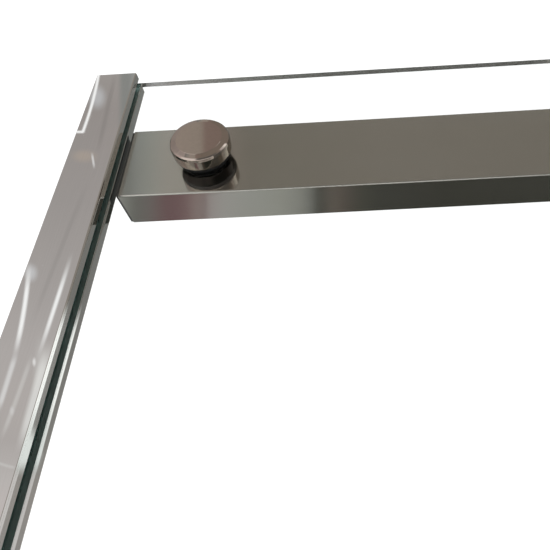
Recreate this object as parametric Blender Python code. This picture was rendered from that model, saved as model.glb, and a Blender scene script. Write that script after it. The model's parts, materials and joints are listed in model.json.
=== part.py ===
# Alcove sliding shower door: a fixed pane in a slotted wall channel, a header rail
# clamped to the pane by through-glass buttons, and a door pane that rolls on the rail.
# Metres, +Z up, +X along the rail, +Y through the glass away from the button side.
# Origin: centre of the wall track's back face.
import math

import bmesh
import bpy
from mathutils import Vector
from mathutils.geometry import tessellate_polygon

MM = 0.001

# ---- driving dimensions, millimetres ----
WIDTH = 1500.0            # wall to wall
HALF_H = 1000.0           # half of the overall height
GLASS_T = 8.0             # both panes
G0, G1 = -4.0, 4.0        # fixed pane faces in Y

CH_X0, CH_X1 = 0.5, 28.0  # slotted wall channel, broad face
CH_Y0, CH_Y1 = -9.9, 10.5
SLOT_Y0, SLOT_Y1 = -5.0, 4.35
SLOT_X = 14.2             # bottom of the slot
CAV_HALF, CAV_X = 8.3, 12.2
TRACK_T, TRACK_X, TRACK_HALF = 1.6, 10.0, 8.0
WALL_SCREW_Z = (850.0, -850.0)

PANE_X0, PANE_X1 = 19.5, 770.0
PANE_TOP = 996.5
PANE_BOT = -983.4

RAIL_X0, RAIL_X1 = 31.8, 1486.0
RAIL_Y0, RAIL_D = 5.5, 25.0
RAIL_Y1 = RAIL_Y0 + RAIL_D
RAIL_H = 55.6
RAIL_TOP = PANE_TOP - 43.4
RAIL_BOT = RAIL_TOP - RAIL_H
RAIL_WALL = 2.0
RAIL_MID = 0.5 * (RAIL_TOP + RAIL_BOT)

BUTTON_X = (82.0, 720.0)
BUTTON_Z = RAIL_BOT + 26.5
BUTTON_R = 18.0
BUTTON_FACE = -16.6
STUD_R = 4.0
PANE_HOLE_R = 7.0

DOOR_X0, DOOR_X1 = 745.0, 1466.0
DOOR_Y0, DOOR_Y1 = 38.0, 46.0
DOOR_TOP, DOOR_BOT = 998.0, -978.0
TRAVEL = 500.0

WHEEL_R = 22.0
FLANGE_R = 26.0
WHEEL_X = (860.0, 1368.0)
WHEEL_Z = RAIL_TOP + WHEEL_R + 0.05
GUARD_R = 9.0
GUARD_GAP = 0.7
GUARD_Z = RAIL_BOT - GUARD_GAP - GUARD_R
AXLE_R = 4.0
DOOR_HOLE_R = 6.5

SILL_TOP = -990.0
SILL_Y0, SILL_Y1 = -12.0, 56.0
U_HALF, U_WALL, U_TOP = 10.2, 5.2, -968.0

HANDLE_X, HANDLE_Z, HANDLE_PITCH = 1400.0, 60.0, 200.0
HANDLE_R, HANDLE_OUT = 9.5, 52.0

PARTS_NAME = "sliding_shower_door"


# ---- scene ----
for ob in list(bpy.data.objects):
    bpy.data.objects.remove(ob, do_unlink=True)
for me in list(bpy.data.meshes):
    bpy.data.meshes.remove(me)

parts = bpy.data.collections.new(PARTS_NAME)
bpy.context.scene.collection.children.link(parts)
cutters = bpy.data.collections.new("cutters")
bpy.context.scene.collection.children.link(cutters)


def material(name, rgb, rough, metal, alpha=1.0):
    m = bpy.data.materials.new(name)
    m.use_nodes = True
    p = m.node_tree.nodes["Principled BSDF"]
    p.inputs["Base Color"].default_value = (rgb[0], rgb[1], rgb[2], 1.0)
    p.inputs["Roughness"].default_value = rough
    p.inputs["Metallic"].default_value = metal
    p.inputs["Alpha"].default_value = alpha
    m.diffuse_color = (rgb[0], rgb[1], rgb[2], alpha)
    return m


def finish(name, bm, origin, rgb, rough, metal, alpha=1.0, cutter=False):
    """Turn a bmesh in millimetres into a named object in metres with its own origin."""
    bmesh.ops.remove_doubles(bm, verts=bm.verts, dist=1e-4)
    bmesh.ops.recalc_face_normals(bm, faces=bm.faces)
    o = Vector(origin)
    for v in bm.verts:
        v.co = (v.co - o) * MM
    me = bpy.data.meshes.new(name)
    bm.to_mesh(me)
    bm.free()
    ob = bpy.data.objects.new(name, me)
    ob.location = o * MM
    if cutter:
        cutters.objects.link(ob)
        ob.hide_render = True
        ob.display_type = "WIRE"
    else:
        parts.objects.link(ob)
        me.materials.append(material(name, rgb, rough, metal, alpha))
    return ob


def box_bm(x0, x1, y0, y1, z0, z1, bevel=0.0, segments=1, bm=None):
    bm = bm or bmesh.new()
    made = bmesh.ops.create_cube(bm, size=1.0)["verts"]
    for v in made:
        v.co = Vector(((x0 + x1) / 2 + v.co.x * (x1 - x0),
                       (y0 + y1) / 2 + v.co.y * (y1 - y0),
                       (z0 + z1) / 2 + v.co.z * (z1 - z0)))
    if bevel:
        edges = list({e for v in made for e in v.link_edges})
        bmesh.ops.bevel(bm, geom=edges, offset=bevel, segments=segments, profile=0.5, affect="EDGES")
    return bm


AXES = {
    "X": lambda u, v, w: Vector((w, u, v)),   # loop in YZ
    "Y": lambda u, v, w: Vector((u, w, v)),   # loop in XZ
    "Z": lambda u, v, w: Vector((u, v, w)),   # loop in XY
}


def prism_bm(loops, axis, a, b):
    """Extrude an outline with holes along an axis."""
    bm = bmesh.new()
    place = AXES[axis]
    flat = [Vector((u, v, 0.0)) for loop in loops for u, v in loop]
    tris = tessellate_polygon([[Vector((u, v, 0.0)) for u, v in loop] for loop in loops])
    low = [bm.verts.new(place(p.x, p.y, a)) for p in flat]
    high = [bm.verts.new(place(p.x, p.y, b)) for p in flat]
    for t in tris:
        bm.faces.new([low[i] for i in t])
        bm.faces.new([high[i] for i in reversed(t)])
    base = 0
    for loop in loops:
        n = len(loop)
        for i in range(n):
            j = (i + 1) % n
            bm.faces.new([low[base + i], low[base + j], high[base + j], high[base + i]])
        base += n
    return bm


def circle(cu, cv, r, n=32):
    return [(cu + r * math.cos(2 * math.pi * i / n), cv + r * math.sin(2 * math.pi * i / n)) for i in range(n)]


def round_rect(u0, u1, v0, v1, r, seg=3):
    pts = []
    for cu, cv, a0 in ((u1 - r, v1 - r, 0), (u0 + r, v1 - r, 90), (u0 + r, v0 + r, 180), (u1 - r, v0 + r, 270)):
        for i in range(seg + 1):
            a = math.radians(a0 + 90.0 * i / seg)
            pts.append((cu + r * math.cos(a), cv + r * math.sin(a)))
    return pts


def lathe_bm(profile, centre, axis="Y", seg=48, bm=None):
    """Revolve a closed list of (radius, along) about an axis through centre."""
    bm = bm or bmesh.new()
    rings = []
    for r, w in profile:
        ring = []
        for i in range(1 if r < 1e-9 else seg):
            a = 2 * math.pi * i / seg
            c, s = r * math.cos(a), r * math.sin(a)
            if axis == "Y":
                p = Vector((centre[0] + c, w, centre[1] + s))
            elif axis == "X":
                p = Vector((w, centre[0] + c, centre[1] + s))
            else:
                p = Vector((centre[0] + c, centre[1] + s, w))
            ring.append(bm.verts.new(p))
        rings.append(ring)
    n = len(rings)
    for k in range(n):
        a, b = rings[k], rings[(k + 1) % n]
        if len(a) == 1 and len(b) == 1:
            continue
        for i in range(seg):
            j = (i + 1) % seg
            if len(a) == 1:
                bm.faces.new([a[0], b[j], b[i]])
            elif len(b) == 1:
                bm.faces.new([a[i], a[j], b[0]])
            else:
                bm.faces.new([a[i], a[j], b[j], b[i]])
    return bm


def cut(target, cutter_bm, origin, name):
    c = finish(name, cutter_bm, origin, (0, 0, 0), 1, 0, cutter=True)
    m = target.modifiers.new("cut", "BOOLEAN")
    m.operation = "DIFFERENCE"
    m.solver = "EXACT"
    m.object = c
    return c


CHROME = ((0.78, 0.78, 0.77), 0.08, 1.0)
NICKEL = ((0.56, 0.55, 0.52), 0.26, 1.0)
STEEL = ((0.62, 0.62, 0.60), 0.30, 1.0)
BLACK = ((0.03, 0.03, 0.03), 0.55, 0.0)
RUBBER = ((0.05, 0.05, 0.05), 0.75, 0.0)
NYLON = ((0.80, 0.80, 0.78), 0.45, 0.0)
GLASS = ((0.80, 0.90, 0.87), 0.02, 0.0, 0.35)
VINYL = ((0.72, 0.76, 0.75), 0.35, 0.0)

# ---- left wall: track, channel, seals, packing ----
t = TRACK_HALF
outline = [(0, -t), (TRACK_X, -t), (TRACK_X, -t + TRACK_T), (TRACK_T, -t + TRACK_T),
           (TRACK_T, t - TRACK_T), (TRACK_X, t - TRACK_T), (TRACK_X, t), (0, t)]
track = finish("wall_track", prism_bm([outline], "Z", -HALF_H + 2, HALF_H - 2), (0, 0, 0), *STEEL)
holes = bmesh.new()
for z in WALL_SCREW_Z:
    lathe_bm([(0, -2), (2.6, -2), (2.6, 4), (0, 4)], (0, z), "X", 24, holes)
cut(track, holes, (0, 0, 0), "cut_track")
for tag, z in zip(("top", "low"), WALL_SCREW_Z):
    finish("wall_screw_" + tag,
           lathe_bm([(0, 0.02), (2.3, 0.02), (2.3, 1.9), (4.4, 1.9), (4.4, 2.6), (3.4, 4.0), (1.2, 4.4), (1.2, 3.2), (0, 3.2)],
                    (0, z), "X", 24), (2, 0, z), *STEEL)

outline = [(CH_X0, CH_Y0 + 0.4), (CH_X0 + 0.4, CH_Y0), (CH_X1 - 0.4, CH_Y0), (CH_X1, CH_Y0 + 0.4),
           (CH_X1, SLOT_Y0), (SLOT_X, SLOT_Y0), (SLOT_X, SLOT_Y1), (CH_X1, SLOT_Y1),
           (CH_X1, CH_Y1 - 0.4), (CH_X1 - 0.4, CH_Y1), (CH_X0 + 0.4, CH_Y1), (CH_X0, CH_Y1 - 0.4),
           (CH_X0, CAV_HALF), (CAV_X, CAV_HALF), (CAV_X, -CAV_HALF), (CH_X0, -CAV_HALF)]
finish("wall_channel", prism_bm([outline], "Z", -HALF_H, HALF_H), (14, 0, 0), *CHROME)
finish("glazing_seal", box_bm(15.0, 27.2, -4.85, -4.2, -966.0, PANE_TOP - 18.0), (21, -4.5, 0), *RUBBER)
finish("side_block_top", box_bm(14.5, 19.2, -3.9, 3.9, PANE_TOP - 16.0, PANE_TOP - 3.0, 0.5), (17, 0, PANE_TOP - 9), *NYLON)

# ---- fixed pane ----
pane = [[(PANE_X0, PANE_BOT), (PANE_X1, PANE_BOT), (PANE_X1, PANE_TOP), (PANE_X0, PANE_TOP)]]
for x in BUTTON_X:
    pane.append(list(reversed(circle(x, BUTTON_Z, PANE_HOLE_R))))
finish("fixed_pane", prism_bm(pane, "Y", G0, G1), ((PANE_X0 + PANE_X1) / 2, 0, 0), *GLASS)

# ---- header rail ----
outer = round_rect(RAIL_Y0, RAIL_Y1, RAIL_BOT, RAIL_TOP, 1.2)
inner = round_rect(RAIL_Y0 + RAIL_WALL, RAIL_Y1 - RAIL_WALL, RAIL_BOT + RAIL_WALL, RAIL_TOP - RAIL_WALL, 0.6)
rail = finish("header_rail", prism_bm([outer, list(reversed(inner))], "X", RAIL_X0, RAIL_X1),
              ((RAIL_X0 + RAIL_X1) / 2, (RAIL_Y0 + RAIL_Y1) / 2, RAIL_MID), *NICKEL)
holes = bmesh.new()
for x in BUTTON_X:
    lathe_bm([(0, RAIL_Y0 - 3), (5.6, RAIL_Y0 - 3), (5.6, RAIL_Y0 + 6), (0, RAIL_Y0 + 6)], (x, BUTTON_Z), "Y", 32, holes)
cut(rail, holes, (0, RAIL_Y0, BUTTON_Z), "cut_rail")

ym, zm = (RAIL_Y0 + RAIL_Y1) / 2, RAIL_MID
loop_a = [(RAIL_Y0 + 0.2, RAIL_BOT + 0.2), (RAIL_Y1 - 0.2, RAIL_BOT + 0.2), (RAIL_Y1 - 0.2, RAIL_TOP - 0.2), (RAIL_Y0 + 0.2, RAIL_TOP - 0.2)]
k = RAIL_WALL + 0.3
loop_b = [(RAIL_Y0 + k, RAIL_BOT + k), (RAIL_Y1 - k, RAIL_BOT + k), (RAIL_Y1 - k, RAIL_TOP - k), (RAIL_Y0 + k, RAIL_TOP - k)]


def stepped_bm(sections):
    """Stack of rectangular sections along X, closed at both ends."""
    bm = bmesh.new()
    rings = [[bm.verts.new(Vector((x, y, z))) for y, z in loop] for x, loop in sections]
    bm.faces.new(rings[0])
    bm.faces.new(list(reversed(rings[-1])))
    for a, b in zip(rings[:-1], rings[1:]):
        for i in range(4):
            j = (i + 1) % 4
            bm.faces.new([a[i], a[j], b[j], b[i]])
    return bm


finish("rail_end_plug", stepped_bm([(RAIL_X0 - 1.4, loop_a), (RAIL_X0 - 0.2, loop_a), (RAIL_X0 - 0.2, loop_b), (RAIL_X0 + 14, loop_b)]),
       (RAIL_X0, ym, zm), *BLACK)

# wall socket that carries the rail's right end
s_out = round_rect(1.4, 34.4, RAIL_BOT - 4.4, RAIL_TOP + 4.4, 2.0)
bx0, bx1 = 1472.0, WIDTH
socket = finish("rail_wall_socket", prism_bm([s_out], "X", bx0, bx1), (bx1, ym, zm), *NICKEL)
pocket = prism_bm([round_rect(RAIL_Y0 - 0.3, RAIL_Y1 + 0.3, RAIL_BOT - 0.3, RAIL_TOP + 0.3, 1.3)], "X", bx0 - 5, RAIL_X1 + 1.0)
lathe_bm([(0, RAIL_BOT - 8), (2.6, RAIL_BOT - 8), (2.6, RAIL_BOT + 1), (0, RAIL_BOT + 1)], (1479.0, ym), "Z", 24, pocket)
cut(socket, pocket, (bx0, ym, zm), "cut_socket")
finish("socket_grub_screw",
       lathe_bm([(0, RAIL_BOT - 4.2), (1.1, RAIL_BOT - 4.2), (1.1, RAIL_BOT - 5.0), (2.45, RAIL_BOT - 5.0), (2.45, RAIL_BOT - 0.05), (0, RAIL_BOT - 0.05)],
                (1479.0, ym), "Z", 24), (1479.0, ym, RAIL_BOT - 2.5), *STEEL)

# ---- through-glass buttons ----
for tag, x in zip(("left", "right"), BUTTON_X):
    c = (x, BUTTON_Z)
    f = BUTTON_FACE
    R = BUTTON_R
    cap = [(0, f), (R - 4.2, f), (R - 1.4, f + 0.7), (R - 0.5, f + 1.5), (R, f + 2.9),
           (R - 0.3, -7.4), (R - 0.6, -6.8), (R - 1.3, -6.5), (4.3, -6.5), (4.3, f + 4.0), (0, f + 4.0)]
    finish("button_cap_" + tag, lathe_bm(cap, c, "Y", 48), (x, f, BUTTON_Z), *NICKEL)
    gasket = [(4.3, -6.3), (16.2, -6.3), (16.5, -6.0), (16.5, -4.15), (6.6, -4.15), (6.6, 3.6), (4.3, 3.6)]
    finish("button_gasket_" + tag, lathe_bm(gasket, c, "Y", 32), (x, -5, BUTTON_Z), *RUBBER)
    pad = [(5.8, 4.15), (14.0, 4.15), (14.0, RAIL_Y0 - 0.15), (5.8, RAIL_Y0 - 0.15)]
    finish("button_pad_" + tag, lathe_bm(pad, c, "Y", 32), (x, 4.8, BUTTON_Z), *RUBBER)
    stud = [(0, f + 4.3), (STUD_R, f + 4.3), (STUD_R, RAIL_Y0 - 0.6), (5.3, RAIL_Y0 - 0.6), (5.3, RAIL_Y0 + RAIL_WALL + 0.2),
            (8.0, RAIL_Y0 + RAIL_WALL + 0.2), (8.0, RAIL_Y0 + RAIL_WALL + 2.2), (5.3, RAIL_Y0 + RAIL_WALL + 3.2), (5.3, RAIL_Y0 + 16), (0, RAIL_Y0 + 16)]
    finish("button_stud_" + tag, lathe_bm(stud, c, "Y", 20), (x, 2, BUTTON_Z), *STEEL)

# ---- rail stops ----
for tag, face, s in (("left", WHEEL_X[0] - TRAVEL - WHEEL_R - 0.5, -1), ("right", WHEEL_X[1] + WHEEL_R + 0.5, 1)):
    x0, x1 = sorted((face + s * 6.0, face + s * 20.0))
    finish("rail_stop_" + tag, box_bm(x0, x1, 9.5, 28.5, RAIL_TOP + 0.1, RAIL_TOP + 30.0, 0.8), ((x0 + x1) / 2, 19, RAIL_TOP + 15), *NICKEL)
    a, b = face + s * 5.85, face
    finish("stop_bumper_" + tag, lathe_bm([(0, b), (4.0, b), (5.5, b + s * 1.2), (5.5, a), (0, a)], (19.0, WHEEL_Z), "X", 24), (face, 19, WHEEL_Z), *RUBBER)

# ---- door pane ----
pane = [[(DOOR_X0, DOOR_BOT), (DOOR_X1, DOOR_BOT), (DOOR_X1, DOOR_TOP), (DOOR_X0, DOOR_TOP)]]
for x in WHEEL_X:
    pane.append(list(reversed(circle(x, WHEEL_Z, DOOR_HOLE_R))))
    pane.append(list(reversed(circle(x, GUARD_Z, 5.0, 24))))
HZ = (HANDLE_Z - HANDLE_PITCH / 2, HANDLE_Z + HANDLE_PITCH / 2)
for z in HZ:
    pane.append(list(reversed(circle(HANDLE_X, z, 5.0, 24))))
finish("door_pane", prism_bm(pane, "Y", DOOR_Y0, DOOR_Y1), ((DOOR_X0 + DOOR_X1) / 2, 42, WHEEL_Z), *GLASS)

# ---- rollers ----
for tag, x in zip(("left", "right"), WHEEL_X):
    c = (x, WHEEL_Z)
    tyre = [(17.2, 15.0), (WHEEL_R - 0.6, 15.0), (WHEEL_R, 15.6), (WHEEL_R, 28.4), (WHEEL_R - 0.6, 29.0), (17.2, 29.0)]
    finish("roller_tyre_" + tag, lathe_bm(tyre, c, "Y", 48), (x, 22, WHEEL_Z), *NYLON)
    wheel = [(4.05, 15.2), (6.5, 15.2), (7.5, 16.6), (13.5, 16.6), (14.5, 15.2), (17.05, 15.2), (17.05, 29.2), (17.05, 31.0),
             (FLANGE_R - 0.6, 31.0), (FLANGE_R, 31.5), (FLANGE_R, 33.0), (FLANGE_R - 0.8, 33.6), (4.05, 33.6)]
    finish("roller_wheel_" + tag, lathe_bm(wheel, c, "Y", 48), (x, 22, WHEEL_Z), *STEEL)
    axle = [(0, 10.6), (7.0, 10.6), (8.0, 11.4), (8.0, 14.6), (AXLE_R, 14.6), (AXLE_R, 51.0), (0, 51.0)]
    finish("roller_axle_" + tag, lathe_bm(axle, c, "Y", 24), (x, 22, WHEEL_Z), *STEEL)
    spacer = [(4.3, 34.1), (9.5, 34.1), (14.0, 35.6), (14.0, 37.8), (4.3, 37.8)]
    finish("roller_spacer_" + tag, lathe_bm(spacer, c, "Y", 32), (x, 36, WHEEL_Z), *NYLON)
    gasket = [(4.3, 38.3), (6.2, 38.3), (6.2, 46.2), (19.0, 46.2), (19.0, 47.6), (4.3, 47.6)]
    finish("roller_gasket_" + tag, lathe_bm(gasket, c, "Y", 32), (x, 46, WHEEL_Z), *RUBBER)
    cap = [(4.3, 47.8), (21.0, 47.8), (21.8, 48.4), (22.0, 49.4), (22.0, 54.0), (21.2, 55.8), (19.6, 56.6), (17.5, 57.0), (0, 57.0), (0, 51.4), (4.3, 51.4)]
    finish("roller_cap_" + tag, lathe_bm(cap, c, "Y", 48), (x, 52, WHEEL_Z), *NICKEL)

    g = (x, GUARD_Z)
    wheel = [(3.05, 15.0), (GUARD_R - 0.5, 15.0), (GUARD_R, 15.5), (GUARD_R, 28.5), (GUARD_R - 0.5, 29.0), (3.05, 29.0)]
    finish("guard_wheel_" + tag, lathe_bm(wheel, g, "Y", 32), (x, 22, GUARD_Z), *NYLON)
    pin = [(0, 11.4), (5.2, 11.4), (6.0, 12.2), (6.0, 14.6), (3.0, 14.6), (3.0, 29.4), (7.5, 29.4), (7.5, 37.8), (3.6, 37.8), (3.6, 49.0), (0, 49.0)]
    finish("guard_pin_" + tag, lathe_bm(pin, g, "Y", 20), (x, 22, GUARD_Z), *STEEL)
    cap = [(3.9, 46.3), (11.0, 46.3), (11.6, 46.9), (11.6, 50.2), (10.6, 51.6), (9.0, 52.0), (0, 52.0), (0, 49.4), (3.9, 49.4)]
    finish("guard_cap_" + tag, lathe_bm(cap, g, "Y", 32), (x, 49, GUARD_Z), *NICKEL)

# ---- pull handle: bar with two posts, one body, and two caps on the other face ----
def sweep_bm(points, radius, seg=20):
    """Round bar along a planar path in YZ, closed at both ends."""
    bm = bmesh.new()
    rings = []
    n = len(points)
    for i, p in enumerate(points):
        a = points[max(0, i - 1)]
        b = points[min(n - 1, i + 1)]
        d = Vector((b[0] - a[0], b[1] - a[1])).normalized()
        if 0 < i < n - 1:
            d1 = Vector((p[0] - a[0], p[1] - a[1])).normalized()
            half = max(0.5, d.dot(d1))
        else:
            half = 1.0
        nrm = Vector((-d.y, d.x)) / half
        ring = []
        for k in range(seg):
            t_ = 2 * math.pi * k / seg
            u, v = radius * math.cos(t_), radius * math.sin(t_)
            ring.append(bm.verts.new(Vector((HANDLE_X + u, p[0] + nrm.x * v, p[1] + nrm.y * v))))
        rings.append(ring)
    bm.faces.new(rings[0])
    bm.faces.new(list(reversed(rings[-1])))
    for a, b in zip(rings[:-1], rings[1:]):
        for k in range(seg):
            j = (k + 1) % seg
            bm.faces.new([a[k], a[j], b[j], b[k]])
    return bm


path = [(46.2, HZ[0])]
bend = 16.0
yo = DOOR_Y1 + HANDLE_OUT
for i in range(9):
    a = math.radians(90.0 * i / 8)
    path.append((yo - bend + bend * math.sin(a), HZ[0] + bend - bend * math.cos(a)))
for i in range(9):
    a = math.radians(90.0 * i / 8)
    path.append((yo - bend + bend * math.cos(a), HZ[1] - bend + bend * math.sin(a)))
path.append((46.2, HZ[1]))
handle = finish("door_handle", sweep_bm(path, HANDLE_R), (HANDLE_X, DOOR_Y1, HANDLE_Z), *NICKEL)
bores = bmesh.new()
for z in HZ:
    lathe_bm([(0, 44), (3.3, 44), (3.3, 58), (0, 58)], (HANDLE_X, z), "Y", 24, bores)
cut(handle, bores, (HANDLE_X, DOOR_Y1, HANDLE_Z), "cut_handle")
for tag, z in zip(("low", "up"), HZ):
    cap = [(0, 31.6), (9.0, 31.6), (10.6, 32.2), (11.4, 33.4), (11.4, 37.0), (11.0, 37.8), (3.0, 37.8), (3.0, 55.0), (0, 55.0)]
    finish("handle_cap_" + tag, lathe_bm(cap, (HANDLE_X, z), "Y", 32), (HANDLE_X, 37.8, z), *NICKEL)

# ---- seals ----
sy0, sy1 = DOOR_Y0 - 0.2, DOOR_Y1 + 0.2
bulb = [(1454.0, sy0 - 1.0), (1467.8, sy0 - 1.0)]
for i in range(9):
    a = math.radians(-80.0 + 160.0 * i / 8)
    bulb.append((1470.2 + 4.8 * math.cos(a), 42.0 + 4.8 * math.sin(a)))
bulb += [(1467.8, sy1 + 1.0), (1454.0, sy1 + 1.0), (1454.0, sy1), (1466.3, sy1), (1466.3, sy0), (1454.0, sy0)]
finish("door_bulb_seal", prism_bm([bulb], "Z", DOOR_BOT + 1, DOOR_TOP - 1), (1466, 42, 0), *VINYL)
fin = [(756.0, -5.2), (771.5, -5.2), (771.5, 5.2), (772.0, 20.0), (774.5, 36.9), (773.3, 37.1), (770.8, 20.0), (770.2, 5.2),
       (756.0, 5.2), (756.0, 4.25), (770.3, 4.25), (770.3, -4.25), (756.0, -4.25)]
finish("gap_fin_seal", prism_bm([fin], "Z", U_TOP + 2, GUARD_Z - 16.0), (770, 0, 0), *VINYL)

# ---- right wall: strike jamb and strip ----
jx0 = 1479.0
jamb = [(jx0, 35.2), (jx0 + 0.5, 34.7), (WIDTH, 34.7), (WIDTH, 55.7), (jx0 + 0.5, 55.7), (jx0, 55.2),
        (jx0, 47.0), (jx0 + 3.0, 47.0), (jx0 + 3.0, 37.0), (jx0, 37.0)]
finish("strike_jamb", prism_bm([jamb], "Z", SILL_TOP + 0.3, HALF_H), (WIDTH, 45, 0), *CHROME)
strip = [(jx0 - 3.6, 38.6), (jx0 - 3.0, 37.8), (jx0 + 2.7, 37.3), (jx0 + 2.7, 46.7), (jx0 - 3.0, 46.2), (jx0 - 3.6, 45.4)]
finish("strike_strip", prism_bm([strip], "Z", SILL_TOP + 4, HALF_H - 4), (jx0, 42, 0), *RUBBER)

# ---- sill, bottom channel, setting blocks, floor guide ----
sill = [(SILL_Y0, -HALF_H), (SILL_Y1, -HALF_H), (SILL_Y1, SILL_TOP - 3.0), (SILL_Y1 - 4.0, SILL_TOP), (SILL_Y0 + 1.5, SILL_TOP), (SILL_Y0, SILL_TOP - 1.5)]
finish("sill", prism_bm([sill], "X", CH_X1 + 0.3, WIDTH - 0.3), (WIDTH / 2, 22, -HALF_H), *CHROME)
u = U_HALF
ch = [(-u, SILL_TOP + 0.2), (u, SILL_TOP + 0.2), (u, U_TOP), (u - U_WALL, U_TOP), (u - U_WALL, SILL_TOP + 2.2), (-u + U_WALL, SILL_TOP + 2.2), (-u + U_WALL, U_TOP), (-u, U_TOP)]
finish("bottom_channel", prism_bm([ch], "X", CH_X1 + 0.3, PANE_X1 + 2.0), (400, 0, SILL_TOP), *CHROME)
for tag, x in (("left", 140.0), ("right", 650.0)):
    finish("setting_block_" + tag, box_bm(x - 40, x + 40, -4.4, 4.4, SILL_TOP + 2.4, PANE_BOT - 0.2, 0.4), (x, 0, PANE_BOT - 2), *RUBBER)
gy0, gy1 = 33.0, 51.0
guide = [(gy0, SILL_TOP + 0.2), (gy1, SILL_TOP + 0.2), (gy1, SILL_TOP + 22), (gy1 - 1.0, SILL_TOP + 24), (DOOR_Y1 + 1.6, SILL_TOP + 24), (DOOR_Y1 + 0.5, SILL_TOP + 22),
         (DOOR_Y1 + 0.5, SILL_TOP + 8), (DOOR_Y0 - 0.5, SILL_TOP + 8), (DOOR_Y0 - 0.5, SILL_TOP + 22), (DOOR_Y0 - 1.6, SILL_TOP + 24), (gy0 + 1.0, SILL_TOP + 24), (gy0, SILL_TOP + 22)]
fg = finish("floor_guide", prism_bm([guide], "X", 775.0, 815.0), (795, 42, SILL_TOP), *NYLON)
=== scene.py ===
import json
import math

import bmesh
import bpy
from mathutils import Matrix, Vector
from mathutils.geometry import tessellate_polygon


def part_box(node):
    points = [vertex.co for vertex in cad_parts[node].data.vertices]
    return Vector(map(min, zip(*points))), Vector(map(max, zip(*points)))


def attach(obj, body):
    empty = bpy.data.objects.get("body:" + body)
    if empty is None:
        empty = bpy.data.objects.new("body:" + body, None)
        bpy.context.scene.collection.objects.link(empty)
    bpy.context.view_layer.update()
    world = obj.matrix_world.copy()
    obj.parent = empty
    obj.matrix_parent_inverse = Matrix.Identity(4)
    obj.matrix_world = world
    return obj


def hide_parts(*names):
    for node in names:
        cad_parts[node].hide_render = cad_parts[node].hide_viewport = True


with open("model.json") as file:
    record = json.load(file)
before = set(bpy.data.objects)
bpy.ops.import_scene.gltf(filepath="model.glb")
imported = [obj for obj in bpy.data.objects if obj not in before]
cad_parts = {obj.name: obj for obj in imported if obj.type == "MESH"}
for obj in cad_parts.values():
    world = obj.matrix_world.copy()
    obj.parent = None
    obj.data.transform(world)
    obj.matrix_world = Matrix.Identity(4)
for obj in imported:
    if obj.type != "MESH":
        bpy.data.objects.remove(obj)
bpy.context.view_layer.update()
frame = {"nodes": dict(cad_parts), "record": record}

NODES = frame["nodes"]
MM = 0.001


def lo(n):
    return [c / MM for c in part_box(n)[0]]


def hi(n):
    return [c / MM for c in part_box(n)[1]]


# ---------------------------------------------------------------- node helpers
class Tree:
    """Short names for building a node tree."""

    def __init__(self, tree):
        self.t = tree
        self.n = 0

    def node(self, kind, **props):
        nd = self.t.nodes.new(kind)
        nd.location = (-200 * (self.n % 12), -180 * (self.n // 12))
        self.n += 1
        for k, v in props.items():
            setattr(nd, k, v)
        return nd

    def put(self, sock, v):
        if hasattr(v, "is_linked") or hasattr(v, "node"):
            self.t.links.new(v, sock)
        elif isinstance(v, (tuple, list)) and len(v) == 3 and sock.type == "RGBA":
            sock.default_value = (*v, 1.0)
        else:
            sock.default_value = v

    def math(self, op, a, b=None, c=None, clamp=False):
        nd = self.node("ShaderNodeMath", operation=op, use_clamp=clamp)
        for i, v in enumerate((a, b, c)):
            if v is not None:
                self.put(nd.inputs[i], v)
        return nd.outputs[0]

    def step(self, v, a, b, lo_=0.0, hi_=1.0):
        nd = self.node("ShaderNodeMapRange", interpolation_type="SMOOTHSTEP", clamp=True)
        self.put(nd.inputs["Value"], v)
        nd.inputs["From Min"].default_value = a
        nd.inputs["From Max"].default_value = b
        nd.inputs["To Min"].default_value = lo_
        nd.inputs["To Max"].default_value = hi_
        return nd.outputs["Result"]

    def lin(self, v, a, b, lo_=0.0, hi_=1.0):
        nd = self.node("ShaderNodeMapRange", clamp=True)
        self.put(nd.inputs["Value"], v)
        nd.inputs["From Min"].default_value = a
        nd.inputs["From Max"].default_value = b
        nd.inputs["To Min"].default_value = lo_
        nd.inputs["To Max"].default_value = hi_
        return nd.outputs["Result"]

    def band(self, v, a0, a1, b0, b1):
        return self.math("MULTIPLY", self.step(v, a0, a1), self.step(v, b0, b1, 1.0, 0.0))

    def mix(self, f, a, b):
        nd = self.node("ShaderNodeMix", data_type="RGBA")
        self.put(nd.inputs[0], f)
        self.put(nd.inputs[6], a)
        self.put(nd.inputs[7], b)
        return nd.outputs[2]

    def coords(self, scale=(1, 1, 1), rot=(0, 0, 0)):
        tc = self.node("ShaderNodeTexCoord")
        mp = self.node("ShaderNodeMapping")
        self.t.links.new(tc.outputs["Object"], mp.inputs["Vector"])
        mp.inputs["Scale"].default_value = scale
        mp.inputs["Rotation"].default_value = rot
        return mp.outputs["Vector"]

    def noise(self, vec, scale, detail=4.0, rough=0.5, distort=0.0):
        nd = self.node("ShaderNodeTexNoise")
        self.put(nd.inputs["Vector"], vec)
        nd.inputs["Scale"].default_value = scale
        nd.inputs["Detail"].default_value = detail
        nd.inputs["Roughness"].default_value = rough
        nd.inputs["Distortion"].default_value = distort
        return nd.outputs["Fac"]

    def bump(self, height, distance, strength=1.0, normal=None):
        nd = self.node("ShaderNodeBump")
        self.put(nd.inputs["Height"], height)
        nd.inputs["Distance"].default_value = distance
        nd.inputs["Strength"].default_value = strength
        if normal is not None:
            self.put(nd.inputs["Normal"], normal)
        return nd.outputs["Normal"]


def new_mat(name):
    m = bpy.data.materials.new(name)
    m.use_nodes = True
    m.node_tree.nodes.clear()
    t = Tree(m.node_tree)
    out = t.node("ShaderNodeOutputMaterial")
    p = t.node("ShaderNodeBsdfPrincipled")
    m.node_tree.links.new(p.outputs[0], out.inputs["Surface"])
    return m, t, p, out


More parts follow.
